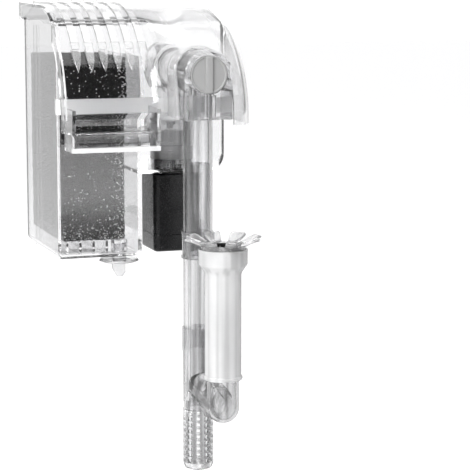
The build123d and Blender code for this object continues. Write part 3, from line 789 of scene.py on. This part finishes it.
class FILTER_OT_knob(bpy.types.Operator):
    """Round flow knob: dished face inside a raised rim, and a grip bar right across it"""

    bl_idname = "filter.knob"
    bl_label = "Knob"

    def execute(self, context):
        settings = context.scene.filter_knob
        lowest, highest, centre = span("flow_knob")
        radius = (highest.x - lowest.x) / 2
        face = lowest.y + settings.bar_height
        bm = bmesh.new()
        rim = radius - settings.rim_width
        dish, flange = face + 0.0006, face + 0.002
        skirt_radius, skirt_end = 0.0089, highest.y - 0.003
        stem_radius, centre_hole = 0.003, 0.0005
        lathe(bm, (0, 0), [
            (centre_hole, dish), (rim - 0.0006, dish), (rim, face), (radius - 0.0004, face),
            (radius, face + 0.0004), (radius, flange), (skirt_radius, flange), (skirt_radius, skirt_end),
            (stem_radius, skirt_end), (stem_radius, highest.y), (centre_hole, highest.y),
        ])
        bmesh.ops.holes_fill(bm, edges=[e for e in bm.edges if e.is_boundary], sides=0)
        turn = Matrix(((1, 0, 0), (0, 0, 1), (0, 1, 0)))
        bmesh.ops.transform(bm, matrix=turn.to_4x4(), verts=bm.verts)
        bmesh.ops.translate(bm, verts=bm.verts, vec=(centre.x, 0, centre.z))
        made = bmesh.ops.create_cube(bm, size=1.0)["verts"]
        depth = face + 0.0008 - lowest.y
        bmesh.ops.scale(bm, verts=made, vec=(settings.bar_width, depth, 2 * radius - 0.0014))
        bmesh.ops.translate(bm, verts=made, vec=(centre.x, lowest.y + depth / 2, centre.z))
        bar = set(made)
        front = [e for e in bm.edges if bar.issuperset(e.verts) and all(v.co.y < face for v in e.verts)]
        bmesh.ops.bevel(
            bm, geom=front, offset=settings.bar_round, affect="EDGES", segments=3, profile=0.5, material=-1
        )
        close_and_shade(bm)
        finish_piece("knob_skin", bm, "knob_grey", "knob", ("flow_knob",))
        return {"FINISHED"}


class FILTER_OT_crown(bpy.types.Operator):
    """Floating weir crown: a hub ring and spoon-shaped petals"""

    bl_idname = "filter.crown"
    bl_label = "Skimmer crown"

    def execute(self, context):
        settings = context.scene.filter_crown
        lowest, highest, centre = span("skimmer_crown")
        reach = (highest.x - lowest.x) / 2
        top = highest.z
        bm = bmesh.new()
        hub = settings.hub_radius
        lathe(bm, centre, [
            (hub - 0.0022, lowest.z), (hub, lowest.z), (hub, top - 0.0064), (hub - 0.0006, top - 0.0058),
            (hub - 0.0022, top - 0.0058),
        ])
        root, root_half, swell = hub - 0.0015, 0.0034, 0.0022
        root_z, climb, spoon = top - 0.0068, 0.0044, 0.0010
        shoulder, tip = 0.75, 0.7
        for i in range(settings.petals):
            angle = math.tau * i / settings.petals
            made = bmesh.ops.create_grid(bm, x_segments=14, y_segments=10, size=1.0)["verts"]
            for vert in made:
                u, v = (vert.co.x + 1) / 2, vert.co.y
                radius = root + (reach - root) * u
                half = root_half + swell * math.sin(math.pi * min(u / shoulder, 1.0) / 2)
                if u > tip:
                    half *= math.sqrt(max(1 - ((u - tip) / (1 - tip)) ** 2, 0.02))
                ease = u * u * (3 - 2 * u)
                height = root_z + climb * ease + spoon * v * v
                vert.co = (radius, half * v, height)
            bmesh.ops.rotate(bm, verts=made, cent=(0, 0, 0), matrix=Matrix.Rotation(angle, 3, "Z"))
            bmesh.ops.translate(bm, verts=made, vec=(centre.x, centre.y, 0))
            faces = list({f for v in made for f in v.link_faces})
            bmesh.ops.recalc_face_normals(bm, faces=faces)
            bmesh.ops.solidify(bm, geom=faces, thickness=settings.thickness)
        close_and_shade(bm)
        for vert in bm.verts:
            vert.co.z = min(max(vert.co.z, lowest.z), top)
        finish_piece("crown_skin", bm, "clear_crown", "skimmer_float", ("skimmer_crown",))
        return {"FINISHED"}


class FILTER_OT_sleeve(bpy.types.Operator):
    """Frosted sleeve: a thin tube with a rolled foot and a cup at its top"""

    bl_idname = "filter.sleeve"
    bl_label = "Skimmer sleeve"

    def execute(self, context):
        settings = context.scene.filter_sleeve
        lowest, highest, centre = span("skimmer_sleeve")
        cup = (highest.x - lowest.x) / 2
        bore = settings.bore
        tube = bore + settings.wall
        top = highest.z + settings.lip
        bottom = lowest.z
        bm = bmesh.new()
        rolled = tube + 0.0008
        cup_wall, cup_bore = cup - 0.0002, cup - 0.0013
        foot = [
            (bore, bottom), (tube + 0.0005, bottom), (rolled, bottom + 0.0006), (rolled, bottom + 0.0018),
            (tube, bottom + 0.0026),
        ]
        flare = [
            (tube, top - 0.0170), (tube + 0.0006, top - 0.0150), (cup - 0.0010, top - 0.0112),
            (cup_wall, top - 0.0098),
        ]
        rolled_lip = [
            (cup_wall, top - 0.0018), (cup, top - 0.0012), (cup, top - 0.0004), (cup - 0.0004, top),
            (cup - 0.0010, top), (cup_bore, top - 0.0004),
        ]
        inside = [(cup_bore, top - 0.0096), (cup - 0.0021, top - 0.0110), (bore, top - 0.0152)]
        lathe(bm, centre, foot + flare + rolled_lip + inside)
        close_and_shade(bm)
        finish_piece("sleeve_skin", bm, "frosted_sleeve", "skimmer_sleeve", ("skimmer_sleeve",))
        return {"FINISHED"}


class FILTER_OT_float(bpy.types.Operator):
    """Black foam ring inside the crown"""

    bl_idname = "filter.float"
    bl_label = "Float ring"

    def execute(self, context):
        lowest, highest, centre = span("crown_float")
        outer = (highest.x - lowest.x) / 2
        inner = outer - context.scene.filter_crown.float_wall
        round_off = 0.0008
        bottom, top = lowest.z, highest.z
        bm = bmesh.new()
        lathe(bm, centre, [
            (inner + round_off, bottom), (outer - round_off, bottom), (outer, bottom + round_off),
            (outer, top - round_off), (outer - round_off, top), (inner + round_off, top),
            (inner, top - round_off), (inner, bottom + round_off),
        ], steps=64)
        close_and_shade(bm)
        piece = finish_piece("float_ring", bm, "black_float", "skimmer_float", ("crown_float",))
        return {"FINISHED"}


class FILTER_OT_foam(bpy.types.Operator):
    """Coarse black foam block, cut with slightly rounded edges and pitted all over"""

    bl_idname = "filter.foam"
    bl_label = "Foam block"

    def execute(self, context):
        settings = context.scene.filter_foam
        lowest, highest, centre = span("foam_block")
        size = highest - lowest
        bm = bmesh.new()
        bmesh.ops.create_cube(bm, size=1.0)
        bmesh.ops.scale(bm, verts=bm.verts, vec=size)
        for axis in range(3):
            cuts = int(size[axis] / settings.cell)
            normal = Vector([float(i == axis) for i in range(3)])
            for i in range(1, cuts):
                place = normal * (size[axis] * (i / cuts - 0.5))
                bmesh.ops.bisect_plane(
                    bm, geom=bm.verts[:] + bm.edges[:] + bm.faces[:], plane_co=place, plane_no=normal
                )
        close_and_shade(bm)
        for vert in bm.verts:
            inside = [min(abs(c) - half, 0.0) for c, half in zip(vert.co, size / 2)]
            near = sorted(inside, reverse=True)
            rounding = max(settings.rounding + near[1], 0.0)
            pit = (noise.noise(vert.co * settings.pit_scale) + 1) / 2 * settings.pit
            vert.co -= vert.normal * (pit + 0.5 * rounding)
        bmesh.ops.translate(bm, verts=bm.verts, vec=centre)
        for face in bm.faces:
            face.smooth = True
        for edge in bm.edges:
            edge.smooth = True
        piece = finish_piece("foam_pad", bm, "black_foam", "case", ("foam_block",))
        return {"FINISHED"}


class FILTER_PT_panel(bpy.types.Panel):
    """Lists the operators"""

    bl_idname = "FILTER_PT_panel"
    bl_label = "Aquarium filter"
    bl_space_type = "VIEW_3D"
    bl_region_type = "UI"
    bl_category = "Filter"

    def draw(self, context):
        for operator in OPERATORS:
            self.layout.operator(operator.bl_idname)


OPERATORS = (
    FILTER_OT_studio, FILTER_OT_finishes, FILTER_OT_mouldings, FILTER_OT_rib_tips, FILTER_OT_knob,
    FILTER_OT_crown, FILTER_OT_sleeve, FILTER_OT_float, FILTER_OT_foam,
)
SETTINGS = {
    "filter_studio": StudioSettings, "filter_knob": KnobSettings, "filter_crown": CrownSettings,
    "filter_sleeve": SleeveSettings, "filter_ribs": RibSettings, "filter_foam": FoamSettings,
}
CLASSES = tuple(SETTINGS.values()) + OPERATORS + (FILTER_PT_panel,)


def register():
    for item in CLASSES:
        bpy.utils.register_class(item)
    for name, settings in SETTINGS.items():
        setattr(bpy.types.Scene, name, bpy.props.PointerProperty(type=settings))


def unregister():
    for name in SETTINGS:
        delattr(bpy.types.Scene, name)
    for item in reversed(CLASSES):
        bpy.utils.unregister_class(item)


def main():
    register()
    for operator in OPERATORS:
        _, name = operator.bl_idname.split(".")
        getattr(bpy.ops.filter, name)()


if __name__ == "__main__":
    main()
